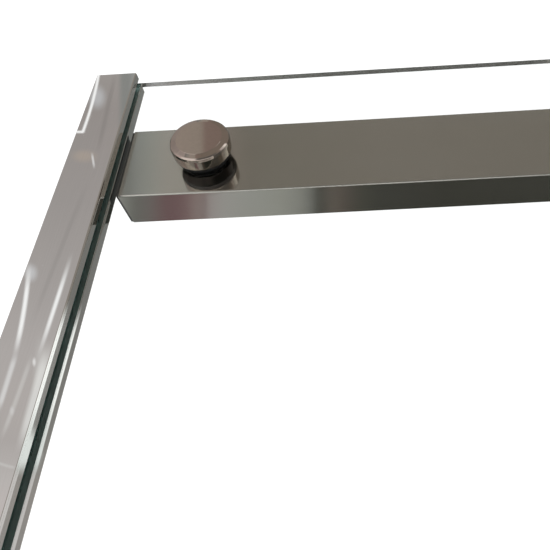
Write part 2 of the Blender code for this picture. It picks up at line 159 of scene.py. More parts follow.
def metal(name, base, tint, rough, grain=(1, 1, 1), grain_scale=900.0, grain_bump=4e-6, wave=(1, 1, 1),
          wave_scale=6.0, wave_bump=0.0, smudge=0.03, spots=0.0):
    """Plated or extruded metal: fine directional grain, slow waviness, handling marks."""
    m, t, p, out = new_mat(name)
    g = t.noise(t.coords(grain), grain_scale, 3.0, 0.55)
    s = t.noise(t.coords((1, 1, 1)), 38.0, 6.0, 0.62, 0.6)
    s2 = t.noise(t.coords((1, 1, 1)), 9.0, 4.0, 0.55, 1.2)
    col = t.mix(t.step(s2, 0.35, 0.68), base, tint)
    col = t.mix(t.lin(g, 0.3, 0.7, 0.0, 0.22), col, tuple(c * 0.86 for c in base))
    if spots:
        v = t.node("ShaderNodeTexVoronoi")
        t.put(v.inputs["Vector"], t.coords((1, 1, 1)))
        v.inputs["Scale"].default_value = 120.0
        dots = t.math("MULTIPLY", t.step(v.outputs["Distance"], 0.03, 0.10, 1.0, 0.0), t.step(s, 0.52, 0.60))
        col = t.mix(t.math("MULTIPLY", dots, spots), col, (0.86, 0.86, 0.86))
    t.put(p.inputs["Base Color"], col)
    p.inputs["Metallic"].default_value = 1.0
    r = t.math("ADD", t.lin(s, 0.35, 0.75, rough, rough + smudge), t.lin(g, 0.2, 0.8, 0.0, 0.35 * rough))
    t.put(p.inputs["Roughness"], r)
    n = None
    if wave_bump:
        w = t.noise(t.coords(wave), wave_scale, 2.0, 0.4)
        n = t.bump(w, wave_bump)
    n = t.bump(g, grain_bump, 0.6, n)
    t.put(p.inputs["Normal"], n)
    return m


def dull(name, base, tint, rough, grain_scale=700.0, bump=2e-5, spec=0.5, coat=0.0, trans=0.0):
    """Rubber, nylon, vinyl or moulded plastic with a fine texture and slight mottling."""
    m, t, p, out = new_mat(name)
    g = t.noise(t.coords((1, 1, 1)), grain_scale, 5.0, 0.6)
    s = t.noise(t.coords((1, 1, 1)), 45.0, 5.0, 0.6, 0.4)
    col = t.mix(t.step(s, 0.32, 0.70), base, tint)
    t.put(p.inputs["Base Color"], col)
    t.put(p.inputs["Roughness"], t.lin(s, 0.3, 0.75, rough - 0.06, rough + 0.08))
    p.inputs["Specular IOR Level"].default_value = spec
    p.inputs["Coat Weight"].default_value = coat
    p.inputs["Coat Roughness"].default_value = 0.2
    p.inputs["Transmission Weight"].default_value = trans
    t.put(p.inputs["Normal"], t.bump(g, bump, 0.7))
    return m


def glass(name, edge=False):
    """Clear float glass: faint roller waviness, water marks in the roughness, green in depth."""
    m, t, p, out = new_mat(name)
    p.inputs["Base Color"].default_value = (1.0, 1.0, 1.0, 1.0)
    p.inputs["IOR"].default_value = 1.52
    p.inputs["Transmission Weight"].default_value = 1.0
    if edge:
        g = t.noise(t.coords((60, 900, 60)), 6.0, 4.0, 0.6)
        t.put(p.inputs["Roughness"], t.lin(g, 0.35, 0.7, 0.03, 0.16))
        t.put(p.inputs["Normal"], t.bump(g, 1.5e-5, 0.6))
    else:
        s = t.noise(t.coords((1, 1, 1)), 24.0, 5.0, 0.6, 0.5)
        t.put(p.inputs["Roughness"], t.lin(s, 0.62, 0.85, 0.0, 0.012))
        w = t.noise(t.coords((1.0, 1.0, 0.25)), 5.0, 1.0, 0.4)
        t.put(p.inputs["Normal"], t.bump(w, 2.0e-5, 0.5))
    va = t.node("ShaderNodeVolumeAbsorption")
    va.inputs["Color"].default_value = (0.50, 0.86, 0.74, 1.0)
    va.inputs["Density"].default_value = 4.0
    m.node_tree.links.new(va.outputs[0], out.inputs["Volume"])
    return m


CHROME = metal("bright_chrome", (0.80, 0.79, 0.775), (0.83, 0.81, 0.79), 0.006, (1, 1, 0.02), 1400.0, 3.0e-7,
               (30, 30, 2.2), 1.0, 1.6e-5, 0.012, 0.5)
CHROME_X = metal("bright_chrome_sill", (0.80, 0.79, 0.775), (0.83, 0.81, 0.79), 0.03, (0.02, 1, 1), 1400.0, 1.0e-6,
                 (2.2, 30, 30), 1.0, 2.0e-5, 0.03, 0.5)
SATIN = metal("satin_nickel", (0.585, 0.565, 0.525), (0.60, 0.585, 0.55), 0.065, (0.012, 1, 1), 1500.0, 1.6e-6,
              (1.2, 10, 10), 1.0, 1.2e-5, 0.03, 0.0)
NICKEL = metal("polished_nickel", (0.545, 0.46, 0.41), (0.575, 0.485, 0.435), 0.02, (1, 1, 1), 500.0, 3.0e-7,
               (1, 1, 1), 40.0, 1.0e-6, 0.03, 0.3)
STEEL = metal("machined_steel", (0.60, 0.60, 0.585), (0.66, 0.655, 0.64), 0.22, (1, 1, 1), 900.0, 6e-6,
              (1, 1, 1), 20.0, 0.0, 0.08, 0.0)
BLACK = dull("black_plastic", (0.012, 0.012, 0.012), (0.022, 0.022, 0.021), 0.42, 900.0, 1.5e-5)
RUBBER = dull("black_rubber", (0.010, 0.010, 0.010), (0.022, 0.022, 0.021), 0.62, 600.0, 2.5e-5, 0.35)
NYLON = dull("pale_nylon", (0.70, 0.70, 0.67), (0.76, 0.76, 0.74), 0.40, 500.0, 1.2e-5, 0.5)
VINYL = dull("clear_vinyl", (0.78, 0.83, 0.81), (0.84, 0.88, 0.86), 0.22, 240.0, 1.0e-5, 0.5, 0.2, 0.75)
# glazing seal colour, brightened and tinted green as painted light: it stands in for the green glow of the glass
# edge seen in the slot
SEAL_PAINTED_GLOW = dull("glazing_silicone_painted_glow", (0.19, 0.31, 0.29), (0.22, 0.35, 0.33), 0.55, 500.0, 1.5e-5, 0.3)
# darker copy of the polished nickel for the buttons' sides: painted shade for the dark surroundings they reflect
NICKEL_SHADED_SIDE = metal("nickel_side_painted_shade", (0.37, 0.315, 0.27), (0.41, 0.35, 0.30), 0.03, (1, 1, 1), 500.0, 4.0e-7,
                    (1, 1, 1), 40.0, 2.0e-6, 0.03, 0.2)
# near-black green for the backs of the nickel buttons: painted shade, so their reflection in the rail reads as a
# dark green blob
BUTTON_BACK_SHADE = dull("button_back_painted_shade", (0.010, 0.016, 0.014), (0.016, 0.024, 0.021), 0.35, 700.0, 1.0e-5, 0.4)
GLASS = glass("clear_glass")
GLASS_EDGE = glass("clear_glass_edge", True)

BODY_OF = {n: b for b, ns in frame["record"]["behaviour"]["bodies"].items() for n in ns}


# ---------------------------------------------------------------- mesh helpers
def fillet(pts, radii, seg=5):
    """Round the corners of a closed outline. radii is one number or one per corner."""
    n = len(pts)
    if not hasattr(radii, "__len__"):
        radii = [radii] * n
    outp = []
    for i in range(n):
        p = Vector(pts[i])
        a = Vector(pts[i - 1]) - p
        b = Vector(pts[(i + 1) % n]) - p
        r = radii[i]
        if r <= 0 or a.length < 1e-9 or b.length < 1e-9:
            outp.append(tuple(p))
            continue
        a_, b_ = a.normalized(), b.normalized()
        ang = a_.angle(b_)
        if ang > math.pi - 0.02:
            outp.append(tuple(p))
            continue
        d = r / math.tan(ang / 2)
        d = min(d, 0.49 * a.length, 0.49 * b.length)
        r = d * math.tan(ang / 2)
        c = p + (a_ + b_).normalized() * (r / math.sin(ang / 2))
        s, e = p + a_ * d - c, p + b_ * d - c
        t0 = math.atan2(s.y, s.x)
        t1 = math.atan2(e.y, e.x)
        while t1 - t0 > math.pi:
            t1 -= 2 * math.pi
        while t1 - t0 < -math.pi:
            t1 += 2 * math.pi
        for k in range(seg + 1):
            u = t0 + (t1 - t0) * k / seg
            outp.append((c.x + r * math.cos(u), c.y + r * math.sin(u)))
    return outp


AXES = {
    "X": lambda u, v, w: Vector((w, u, v)),
    "Y": lambda u, v, w: Vector((u, w, v)),
    "Z": lambda u, v, w: Vector((u, v, w)),
}


def circle(cu, cv, r, n=96):
    return [(cu + r * math.cos(2 * math.pi * i / n), cv + r * math.sin(2 * math.pi * i / n)) for i in range(n)]


def prism(loops, axis, a, b, chamfer=0.0, seg=2):
    """Extrude an outline with holes, with its two ends' edges rounded off."""
    bm = bmesh.new()
    place = AXES[axis]
    flat = [Vector((u, v, 0.0)) for loop in loops for u, v in loop]
    tris = tessellate_polygon([[Vector((u, v, 0.0)) for u, v in loop] for loop in loops])
    low = [bm.verts.new(place(p.x, p.y, a)) for p in flat]
    high = [bm.verts.new(place(p.x, p.y, b)) for p in flat]
    ends = set()
    if len(loops) == 1:
        bm.faces.new(low)
        bm.faces.new(list(reversed(high)))
    else:
        for t in tris:
            bm.faces.new([low[i] for i in t])
            bm.faces.new([high[i] for i in reversed(t)])
    base = 0
    for loop in loops:
        n = len(loop)
        for i in range(n):
            j = (i + 1) % n
            f = bm.faces.new([low[base + i], low[base + j], high[base + j], high[base + i]])
            for e in f.edges:
                w0 = e.verts[0] in (low[base + i], low[base + j])
                w1 = e.verts[1] in (low[base + i], low[base + j])
                if w0 == w1:
                    ends.add(e)
        base += n
    bmesh.ops.recalc_face_normals(bm, faces=bm.faces)
    if chamfer:
        bmesh.ops.bevel(bm, geom=list(ends), offset=chamfer, segments=seg, profile=0.5, affect="EDGES", clamp_overlap=True)
    return bm


def lathe(profile, centre, axis="Y", seg=112):
    bm = bmesh.new()
    rings = []
    for r, w in profile:
        ring = []
        for i in range(1 if r < 1e-9 else seg):
            a = 2 * math.pi * i / seg
            c, s = r * math.cos(a), r * math.sin(a)
            if axis == "Y":
                p = Vector((centre[0] + c, w, centre[1] + s))
            elif axis == "X":
                p = Vector((w, centre[0] + c, centre[1] + s))
            else:
                p = Vector((centre[0] + c, centre[1] + s, w))
            ring.append(bm.verts.new(p))
        rings.append(ring)
    n = len(rings)
    for k in range(n):
        a, b = rings[k], rings[(k + 1) % n]
        if len(a) == 1 and len(b) == 1:
            continue
        for i in range(seg):
            j = (i + 1) % seg
            if len(a) == 1:
                bm.faces.new([a[0], b[j], b[i]])
            elif len(b) == 1:
                bm.faces.new([a[i], a[j], b[0]])
            else:
                bm.faces.new([a[i], a[j], b[j], b[i]])
    bmesh.ops.recalc_face_normals(bm, faces=bm.faces)
    return bm


def turned(profile, centre, axis="Y", seg=112, radius=0.35, rseg=3):
    """Lathe with every corner of the section eased."""
    radii = [0.0 if p[0] < 1e-9 else radius for p in profile]
    prof = fillet(profile, radii, rseg)
    return lathe([(max(0.0, r), w) for r, w in prof], centre, axis, seg)


def flat_normals(ob):
    """Broad faces keep their own normal; only the eased edges turn."""
    w = ob.modifiers.new("normals", "WEIGHTED_NORMAL")
    w.mode = "FACE_AREA"
    w.weight = 100
    w.keep_sharp = True


def piece(name, bm, mat, node, sharp=32.0, smooth=True):
    """A finished mesh, in millimetres, that stands for a CAD node and rides on its body."""
    for v in bm.verts:
        v.co = v.co * MM
    me = bpy.data.meshes.new(name)
    bm.to_mesh(me)
    bm.free()
    mats = mat if isinstance(mat, (list, tuple)) else [mat]
    for m in mats:
        me.materials.append(m)
    if smooth:
        me.shade_smooth()
        me.set_sharp_from_angle(angle=math.radians(sharp))
    ob = bpy.data.objects.new(name, me)
    bpy.context.scene.collection.objects.link(ob)
    flat_normals(ob)
    names = node if isinstance(node, (list, tuple)) else [node]
    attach(ob, BODY_OF[names[0]])
    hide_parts(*names)
    return ob


def keep(node, mat, bevel=0.0, seg=2):
    """A CAD node shown as it is, with its edges eased and a real finish."""
    ob = NODES[node]
    ob.data.materials.clear()
    ob.data.materials.append(mat)
    w = ob.modifiers.new("weld", "WELD")
    w.merge_threshold = 2e-6
    if bevel:
        b = ob.modifiers.new("ease", "BEVEL")
        b.width = bevel * MM
        b.segments = seg
        b.limit_method = "ANGLE"
        b.angle_limit = math.radians(35)
        b.use_clamp_overlap = True
        b.harden_normals = False
    return ob


# ---------------------------------------------------------------- dimensions, mm, from the frame
ch0, ch1 = lo("wall_channel"), hi("wall_channel")
pn0, pn1 = lo("fixed_pane"), hi("fixed_pane")
dr0, dr1 = lo("door_pane"), hi("door_pane")
rl0, rl1 = lo("header_rail"), hi("header_rail")
HOLES = {}
for side in ("left", "right"):
    a, b = lo("button_cap_" + side), hi("button_cap_" + side)
    HOLES["button_" + side] = ((a[0] + b[0]) / 2, (a[2] + b[2]) / 2)
    a, b = lo("roller_cap_" + side), hi("roller_cap_" + side)
    HOLES["roller_" + side] = ((a[0] + b[0]) / 2, (a[2] + b[2]) / 2)
    a, b = lo("guard_cap_" + side), hi("guard_cap_" + side)
    HOLES["guard_" + side] = ((a[0] + b[0]) / 2, (a[2] + b[2]) / 2)
for side in ("low", "up"):
    a, b = lo("handle_cap_" + side), hi("handle_cap_" + side)
    HOLES["handle_" + side] = ((a[0] + b[0]) / 2, (a[2] + b[2]) / 2)

# ---------------------------------------------------------------- left wall channel
x0, x1, y0, y1 = ch0[0], ch1[0], ch0[1], ch1[1]
SLOT_X, CAV_X, CAV = 14.2, 12.2, 8.3
SY0, SY1 = -5.0, 4.8


def crown(cx, cy, a, b, t0, t1, n):
    """Part of an ellipse, in degrees, for the soft outer corner of a lip."""
    return [(cx + a * math.cos(math.radians(t0 + (t1 - t0) * i / n)), cy + b * math.sin(math.radians(t0 + (t1 - t0) * i / n))) for i in range(n + 1)]


body = [(x0, y0, 0.3)]
body += [(px, py, 0.0) for px, py in crown(x1 - 0.96, y0 + 1.8, 0.9, 1.8, -90, 0, 26)]
body += [(x1, SY0, 0.25), (x1 - 1.6, SY0, 0.15), (x1 - 2.0, SY0 - 0.5, 0.2), (x1 - 4.0, SY0 - 0.5, 0.2), (x1 - 4.4, SY0, 0.15),
         (SLOT_X, SY0, 0.3), (SLOT_X, SY1, 0.3)]
body += [(px, py, 0.0) for px, py in crown(x1 - 0.7, SY1 + 2.0, 0.7, 2.0, -90, 0, 22)]
body += [(x1, y1, 0.5), (x0, y1, 0.5), (x0, CAV, 0.2), (CAV_X, CAV, 0.3), (CAV_X, -CAV, 0.3), (x0, -CAV, 0.2)]
pts = [(q[0], q[1]) for q in body]
rad = [q[2] for q in body]
ob = piece("channel_extrusion", prism([fillet(pts, rad, 8)], "Z", ch0[2], ch1[2], 0.12, 2), [CHROME, SEAL_PAINTED_GLOW], "wall_channel")
# the chrome walls of the glass slot take the seal material, whose colour is the painted green glow of the glass edge
for f in ob.data.polygons:
    c = f.center / MM
    if SY0 - 0.05 < c.y < SY1 + 0.05 and SLOT_X - 0.1 < c.x < x1 - 0.5 and abs(f.normal.z) < 0.5:
        f.material_index = 1
keep("wall_track", STEEL)
for n in ("wall_screw_top", "wall_screw_low"):
    keep(n, STEEL)
g0, g1 = lo("glazing_seal"), hi("glazing_seal")
wedge = [(g0[0], g0[1]), (g1[0], g0[1]), (g1[0], g1[1] - 0.12), (g1[0] - 0.5, g1[1]), (g0[0], g1[1])]
# the wedge takes the seal colour with its painted green glow
piece("glazing_wedge", prism([fillet(wedge, 0.12, 3)], "Z", g0[2], g1[2], 0.05), SEAL_PAINTED_GLOW, "glazing_seal")
a, b = lo("side_block_top"), hi("side_block_top")
blk = fillet([(a[1], a[2]), (b[1], a[2]), (b[1], b[2]), (a[1], b[2])], 0.8, 4)
hole = list(reversed(circle((a[1] + b[1]) / 2, (a[2] + b[2]) / 2 - 2.0, 1.6, 32)))
piece("packing_block", prism([blk, hole], "X", a[0], b[0], 0.25), NYLON, "side_block_top")


# ---------------------------------------------------------------- glass
def pane(name, node, a, b, holes):
    loops = [[(a[0], a[2]), (b[0], a[2]), (b[0], b[2]), (a[0], b[2])]]
    for (cx, cz), r in holes:
        loops.append(list(reversed(circle(cx, cz, r, 64))))
    bm = prism(loops, "Y", a[1], b[1], 0.2, 2)
    ob = piece(name, bm, [GLASS, GLASS_EDGE], node, 20.0)
    for f in ob.data.polygons:
        f.material_index = 0 if abs(f.normal.y) > 0.99 else 1
    return ob


pane("fixed_glass", "fixed_pane", pn0, (pn1[0], pn1[1], pn1[2] + 0.3), [(HOLES["button_left"], 7.0), (HOLES["button_right"], 7.0)])
pane("door_glass", "door_pane", dr0, dr1,
     [(HOLES["roller_left"], 6.5), (HOLES["roller_right"], 6.5), (HOLES["guard_left"], 5.0), (HOLES["guard_right"], 5.0),
      (HOLES["handle_low"], 5.0), (HOLES["handle_up"], 5.0)])

# ---------------------------------------------------------------- header rail
ry0, ry1, rz0, rz1 = rl0[1], rl1[1], rl0[2], rl1[2]
outer = fillet([(ry0, rz0), (ry1, rz0), (ry1, rz1), (ry0, rz1)], [1.1, 0.4, 0.4, 0.4], 8)
w = 2.0
inner = fillet([(ry0 + w, rz0 + w), (ry1 - w, rz0 + w), (ry1 - w, rz1 - w), (ry0 + w, rz1 - w)], 0.6, 4)
piece("rail_tube", prism([outer, list(reversed(inner))], "X", rl0[0], rl1[0], 0.15, 2), SATIN, "header_rail", 25.0)
a, b = lo("rail_end_plug"), hi("rail_end_plug")
plate = fillet([(a[1], a[2]), (b[1], a[2]), (b[1], b[2]), (a[1], b[2])], 1.0, 6)
bm = prism([plate], "X", a[0], rl0[0] - 0.05, 0.35, 3)
k = 2.3
tongue = fillet([(ry0 + k, rz0 + k), (ry1 - k, rz0 + k), (ry1 - k, rz1 - k), (ry0 + k, rz1 - k)], 0.5, 3)
bm2 = prism([tongue], "X", rl0[0] - 0.6, b[0], 0.3, 2)
tmp = bpy.data.meshes.new("tmp")
bm2.to_mesh(tmp)
bm2.free()
bm.from_mesh(tmp)
bpy.data.meshes.remove(tmp)
piece("rail_plug", bm, BLACK, "rail_end_plug")
keep("rail_wall_socket", SATIN, 0.4)
keep("socket_grub_screw", STEEL)

# ---------------------------------------------------------------- through-glass buttons
for side in ("left", "right"):
    c = HOLES["button_" + side]
    a, b = lo("button_cap_" + side), hi("button_cap_" + side)
    f, R, back = a[1], (b[0] - a[0]) / 2, b[1]
    prof = [(0, f), (R - 4.25, f), (R - 4.15, f + 0.1), (R - 1.4, f + 0.68), (R - 0.55, f + 1.45), (R, f + 2.9),
            (R - 0.3, back - 1.0), (R - 0.6, back - 0.3), (R - 1.3, back), (4.3, back), (4.3, f + 4.0), (0, f + 4.0)]
    rads = [0, 0.05, 0.05, 0.9, 0.7, 0.35, 0.6, 0.4, 0.3, 0.2, 0.2, 0]
    prof = fillet(prof, rads, 4)
    ob = piece("button_" + side, lathe([(max(0.0, r), w_) for r, w_ in prof], c, "Y", 160), [NICKEL, NICKEL_SHADED_SIDE, BUTTON_BACK_SHADE], "button_cap_" + side, 40.0)
    # button sides take the darker nickel copy, which is painted shade
    for q in ob.data.polygons:
        if q.center.y > (f + 2.2) * MM:
            # back faces take the near-black painted shade
            q.material_index = 2 if q.center.y > (back - 0.25) * MM or q.normal.y > 0.7 else 1
    keep("button_stud_" + side, STEEL)
    a, b = lo("button_gasket_" + side), hi("button_gasket_" + side)
    Rg = (b[0] - a[0]) / 2
    prof = [(4.3, a[1]), (Rg - 0.25, a[1]), (Rg, a[1] + 0.25), (Rg, -4.15), (6.6, -4.15), (6.6, b[1]), (4.3, b[1])]
    piece("button_washer_" + side, turned(prof, c, "Y", 96, 0.15), RUBBER, "button_gasket_" + side)
    a, b = lo("button_pad_" + side), hi("button_pad_" + side)
    prof = [(5.8, a[1]), (14.0, a[1]), (14.0, b[1]), (5.8, b[1])]
    piece("rail_washer_" + side, turned(prof, c, "Y", 96, 0.2), RUBBER, "button_pad_" + side)

# ---------------------------------------------------------------- stops
for side in ("left", "right"):
    keep("rail_stop_" + side, SATIN, 0.5, 3)
    keep("stop_bumper_" + side, RUBBER, 0.2)

# ---------------------------------------------------------------- rollers and guards
for side in ("left", "right"):
    c = HOLES["roller_" + side]
    R = (hi("roller_tyre_" + side)[0] - lo("roller_tyre_" + side)[0]) / 2
    tyre = [(17.2, 15.0), (R - 0.9, 15.0), (R, 16.2), (R, 21.2), (R - 0.5, 21.7), (R - 0.5, 22.3), (R, 22.8), (R, 27.8), (R - 0.9, 29.0), (17.2, 29.0)]
    piece("tyre_" + side, turned(tyre, c, "Y", 128, 0.3), NYLON, "roller_tyre_" + side)
    F = (hi("roller_wheel_" + side)[0] - lo("roller_wheel_" + side)[0]) / 2
    wheel = [(4.05, 15.2), (6.5, 15.2), (7.5, 16.6), (13.5, 17.4), (14.5, 15.2), (17.05, 15.2), (17.05, 31.0),
             (F - 0.7, 31.0), (F, 31.6), (F, 32.9), (F - 0.9, 33.6), (16.0, 33.6), (14.6, 32.2), (8.0, 32.2), (7.0, 33.6), (4.05, 33.6)]
    piece("wheel_" + side, turned(wheel, c, "Y", 128, 0.3), STEEL, "roller_wheel_" + side)
    axle = [(0, 10.6), (2.3, 10.6), (2.3, 12.2), (2.31, 12.2), (2.31, 10.6), (6.8, 10.6), (8.0, 11.6), (8.0, 14.6), (4.0, 14.6), (4.0, 51.0), (0, 51.0)]
    axle = [(0, 12.4), (2.4, 12.4), (2.4, 10.6), (6.8, 10.6), (8.0, 11.6), (8.0, 14.6), (4.0, 14.6), (4.0, 51.0), (0, 51.0)]
    piece("axle_" + side, turned(axle, c, "Y", 72, 0.2), STEEL, "roller_axle_" + side)
    sp = [(4.3, 34.1), (9.5, 34.1), (14.0, 35.6), (14.0, 37.8), (4.3, 37.8)]
    piece("spacer_" + side, turned(sp, c, "Y", 96, 0.3), NYLON, "roller_spacer_" + side)
    gs = [(4.3, 38.3), (6.2, 38.3), (6.2, 46.2), (19.0, 46.2), (19.0, 47.6), (4.3, 47.6)]
    piece("cap_washer_" + side, turned(gs, c, "Y", 96, 0.15), RUBBER, "roller_gasket_" + side)
    a, b = lo("roller_cap_" + side), hi("roller_cap_" + side)
    R, f, back = (b[0] - a[0]) / 2, b[1], a[1]
    cap = [(4.3, back), (R - 1.2, back), (R, back + 1.0), (R, f - 1.8), (R - 0.3, f - 1.15), (R - 0.9, f - 0.78), (R - 3.6, f - 0.1), (R - 4.0, f), (0, f), (0, 51.4), (4.3, 51.4)]
    piece("roller_button_" + side, turned(cap, c, "Y", 144, 0.4), NICKEL, "roller_cap_" + side, 40.0)

    c = HOLES["guard_" + side]
    wheel = [(3.05, 15.0), (8.3, 15.0), (9.0, 15.7), (9.0, 28.3), (8.3, 29.0), (3.05, 29.0)]
    piece("guard_roller_" + side, turned(wheel, c, "Y", 80, 0.25), NYLON, "guard_wheel_" + side)
    pin = [(0, 12.6), (1.9, 12.6), (1.9, 11.4), (5.0, 11.4), (6.0, 12.2), (6.0, 14.6), (3.0, 14.6), (3.0, 29.4), (7.5, 29.4), (7.5, 37.8), (3.6, 37.8), (3.6, 49.0), (0, 49.0)]
    piece("guard_axle_" + side, turned(pin, c, "Y", 64, 0.2), STEEL, "guard_pin_" + side)
    cap = [(3.9, 46.3), (11.0, 46.3), (11.6, 46.9), (11.6, 50.4), (10.9, 51.4), (9.4, 51.9), (0, 52.0), (0, 49.4), (3.9, 49.4)]
    piece("guard_button_" + side, turned(cap, c, "Y", 96, 0.3), NICKEL, "guard_cap_" + side, 40.0)


# ---------------------------------------------------------------- pull handle
def sweep(points, radius, cx, seg=40):
    bm = bmesh.new()
    rings = []
    n = len(points)
    for i, p in enumerate(points):
        a, b = points[max(0, i - 1)], points[min(n - 1, i + 1)]
        d = Vector((b[0] - a[0], b[1] - a[1])).normalized()
        half = 1.0
        if 0 < i < n - 1:
            half = max(0.5, d.dot(Vector((p[0] - a[0], p[1] - a[1])).normalized()))
        nrm = Vector((-d.y, d.x)) / half
        rings.append([bm.verts.new(Vector((cx + radius * math.cos(2 * math.pi * k / seg),
                                            p[0] + nrm.x * radius * math.sin(2 * math.pi * k / seg),
                                            p[1] + nrm.y * radius * math.sin(2 * math.pi * k / seg)))) for k in range(seg)])
    bm.faces.new(rings[0])
    bm.faces.new(list(reversed(rings[-1])))
    for a, b in zip(rings[:-1], rings[1:]):
        for k in range(seg):
            j = (k + 1) % seg
            bm.faces.new([a[k], a[j], b[j], b[k]])
    bmesh.ops.recalc_face_normals(bm, faces=bm.faces)
    return bm


hx = HOLES["handle_low"][0]
hz = (HOLES["handle_low"][1], HOLES["handle_up"][1])
a, b = lo("door_handle"), hi("door_handle")
hr = (b[0] - a[0]) / 2
yo = b[1] - hr
bend = 16.0
path = [(a[1], hz[0])]
for i in range(25):
    t_ = math.radians(90.0 * i / 24)
    path.append((yo - bend + bend * math.sin(t_), hz[0] + bend - bend * math.cos(t_)))
for i in range(25):
    t_ = math.radians(90.0 * i / 24)
    path.append((yo - bend + bend * math.cos(t_), hz[1] - bend + bend * math.sin(t_)))
path.append((a[1], hz[1]))
piece("handle_bar", sweep(path, hr, hx), NICKEL, "door_handle", 40.0)
for side in ("low", "up"):
    c = HOLES["handle_" + side]
    cap = [(0, 31.6), (8.6, 31.6), (10.6, 32.2), (11.4, 33.4), (11.4, 37.2), (11.0, 37.8), (3.0, 37.8), (3.0, 52.0), (0, 52.0)]
    piece("handle_button_" + side, turned(cap, c, "Y", 96, 0.3), NICKEL, "handle_cap_" + side, 40.0)

# ---------------------------------------------------------------- seals, jamb, sill
keep("door_bulb_seal", VINYL)
keep("gap_fin_seal", VINYL)
keep("strike_jamb", CHROME, 0.35, 3)
keep("strike_strip", RUBBER, 0.3)
keep("sill", CHROME_X, 0.4, 3)
keep("bottom_channel", CHROME_X, 0.3, 2)
keep("floor_guide", NYLON, 0.4, 3)
for n in ("setting_block_left", "setting_block_right"):
    keep(n, RUBBER, 0.3)

# ---------------------------------------------------------------- floor
fz = ch0[2] * MM - 0.0006
me = bpy.data.meshes.new("floor")
bm = bmesh.new()
loop = fillet([(-0.55, -0.85), (2.05, -0.85), (2.05, 0.85), (-0.55, 0.85)], 0.35, 16)
bm.faces.new([bm.verts.new((u, v, fz)) for u, v in loop])
bm.to_mesh(me)
bm.free()
floor = bpy.data.objects.new("floor", me)
bpy.context.scene.collection.objects.link(floor)
m, t, p, out = new_mat("floor_pale")
s = t.noise(t.coords((1, 1, 1)), 3.0, 6.0, 0.6, 0.3)
t.put(p.inputs["Base Color"], t.mix(t.step(s, 0.3, 0.7), (0.86, 0.86, 0.855), (0.89, 0.89, 0.885)))
p.inputs["Roughness"].default_value = 0.7
p.inputs["Specular IOR Level"].default_value = 0.2
me.materials.append(m)
if me.polygons[0].normal.z < 0:
    me.flip_normals()

# ---------------------------------------------------------------- surroundings
# The set round the object is painted by ray direction. p is where a ray would cross a plate hung
# square to the lens, so each lamp, window and wall edge is laid out on that plate.
F, CX, CY = 477.3, 320.4, 266.8
RIGHT = Vector((0.99846, 0.0507, -0.02235))
DOWN = Vector((-0.04624, 0.54023, -0.84024))
FWD = Vector((-0.03053, 0.83999, 0.54175))
EYE = Vector((0.1587, -0.2080, 0.7060))

world = bpy.data.worlds.new("studio")
bpy.context.scene.world = world
world.use_nodes = True
world.node_tree.nodes.clear()
t = Tree(world.node_tree)
tc = t.node("ShaderNodeTexCoord")
ray = tc.outputs["Generated"]
sep = t.node("ShaderNodeSeparateXYZ")
t.put(sep.inputs[0], ray)
gx, gy, gz = sep.outputs[0], sep.outputs[1], sep.outputs[2]


def vmath(op, *args, out=0):
    nd = t.node("ShaderNodeVectorMath", operation=op)
    for i, v in enumerate(args):
        if v is None:
            continue
        sock = nd.inputs["Scale"] if (op == "SCALE" and i == 1) else nd.inputs[i]
        t.put(sock, tuple(v) if isinstance(v, Vector) else v)
    return nd.outputs[out]


def plate(sx, sy, sz):
    """Plate position of a ray once it has been mirrored by (sx, sy, sz)."""
    m3 = Vector((sx, sy, sz))
    dot = [vmath("DOT_PRODUCT", ray, Vector((a[0] * m3[0], a[1] * m3[1], a[2] * m3[2])), out=1) for a in (RIGHT, DOWN, FWD)]
    den = t.math("MAXIMUM", dot[2], 0.05)
    u = t.math("MULTIPLY_ADD", t.math("DIVIDE", dot[0], den), F, CX)
    v = t.math("MULTIPLY_ADD", t.math("DIVIDE", dot[1], den), F, CY)
    cb = t.node("ShaderNodeCombineXYZ")
    t.put(cb.inputs[0], u)
    t.put(cb.inputs[1], v)
    return u, v, cb.outputs[0], t.math("GREATER_THAN", dot[2], 0.06)


def ramp(x, stops):
    x0, x1 = stops[0][0], stops[-1][0]
    nd = t.node("ShaderNodeValToRGB")
    t.put(nd.inputs[0], t.lin(x, x0, x1))
    el = nd.color_ramp.elements
    while len(el) < len(stops):
        el.new(0.5)
    for e, (q, c) in zip(el, stops):
        e.position = (q - x0) / (x1 - x0)
        e.color = (*c, 1.0) if len(c) == 3 else c
    return nd.outputs[0]


def strip(col, p, a, b, half, light, power=1.0):
    """A thin lamp or dark batten from a to b on the plate."""
    d = (b[0] - a[0], b[1] - a[1])
    k = 1.0 / max(1e-6, d[0] * d[0] + d[1] * d[1])
    q = vmath("SUBTRACT", p, (a[0], a[1], 0.0))
    w_ = vmath("DOT_PRODUCT", q, (d[0] * k, d[1] * k, 0.0), out=1)
    w_ = t.math("MULTIPLY", w_, 1.0, clamp=True)
    r = vmath("LENGTH", vmath("SUBTRACT", q, vmath("SCALE", (d[0], d[1], 0.0), w_)), out=1)
    f = t.step(r, half * 0.25, half, power, 0.0)
    return t.mix(f, col, light)


